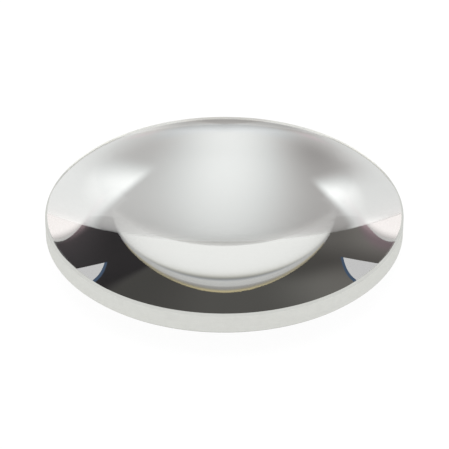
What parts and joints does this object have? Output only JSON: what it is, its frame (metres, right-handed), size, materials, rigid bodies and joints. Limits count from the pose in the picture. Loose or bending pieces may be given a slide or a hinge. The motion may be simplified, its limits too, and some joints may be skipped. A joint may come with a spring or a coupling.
{
  "type": "biconvex lens",
  "caption": "Round biconvex singlet lens of clear crown glass with polished faces, a finely ground edge and bevelled rims, for collecting, focusing or collimating light.",
  "frame": {"origin": "on the optical axis, halfway up the ground edge, which is also the centre of the lens", "axes": "+Z along the optical axis, through the upper convex face; X and Y across the diameter, with nothing to tell them apart"},
  "size_m": [0.0508, 0.0508, 0.0118],
  "materials": {
    "crown_glass": "clear borosilicate crown glass, polished on both convex faces, finely ground and pale on the edge and bevels"
  },
  "bodies": {
    "root": {"lens": "crown_glass"}
  },
  "joints": []
}
